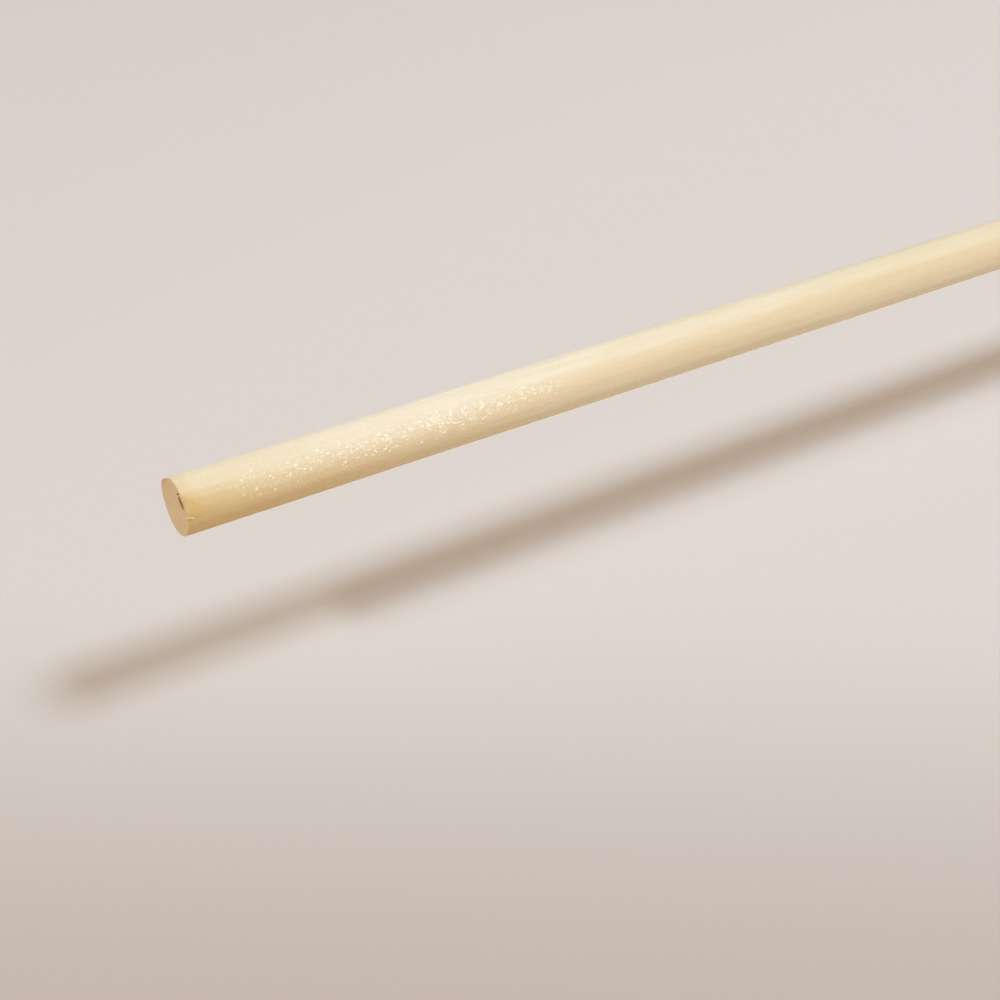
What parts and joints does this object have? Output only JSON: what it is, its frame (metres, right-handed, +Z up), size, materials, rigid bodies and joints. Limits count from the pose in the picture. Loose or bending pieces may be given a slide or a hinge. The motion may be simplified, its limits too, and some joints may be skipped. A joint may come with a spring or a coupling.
{
  "type": "wooden dowel rod",
  "caption": "Straight round wooden rod with square sawn ends and a small torn split in one of them, for pegging, joining or hanging.",
  "frame": {"origin": "centre of the free end's sawn face", "axes": "+X along the rod and its grain, from the free end to the held end; +Z up; -Y towards the viewer's side, where the split in the free end is"},
  "size_m": [0.3048, 0.0064, 0.0064],
  "materials": {
    "wood": "bare, sanded"
  },
  "bodies": {
    "root": {"dowel_rod": "wood"}
  },
  "joints": []
}
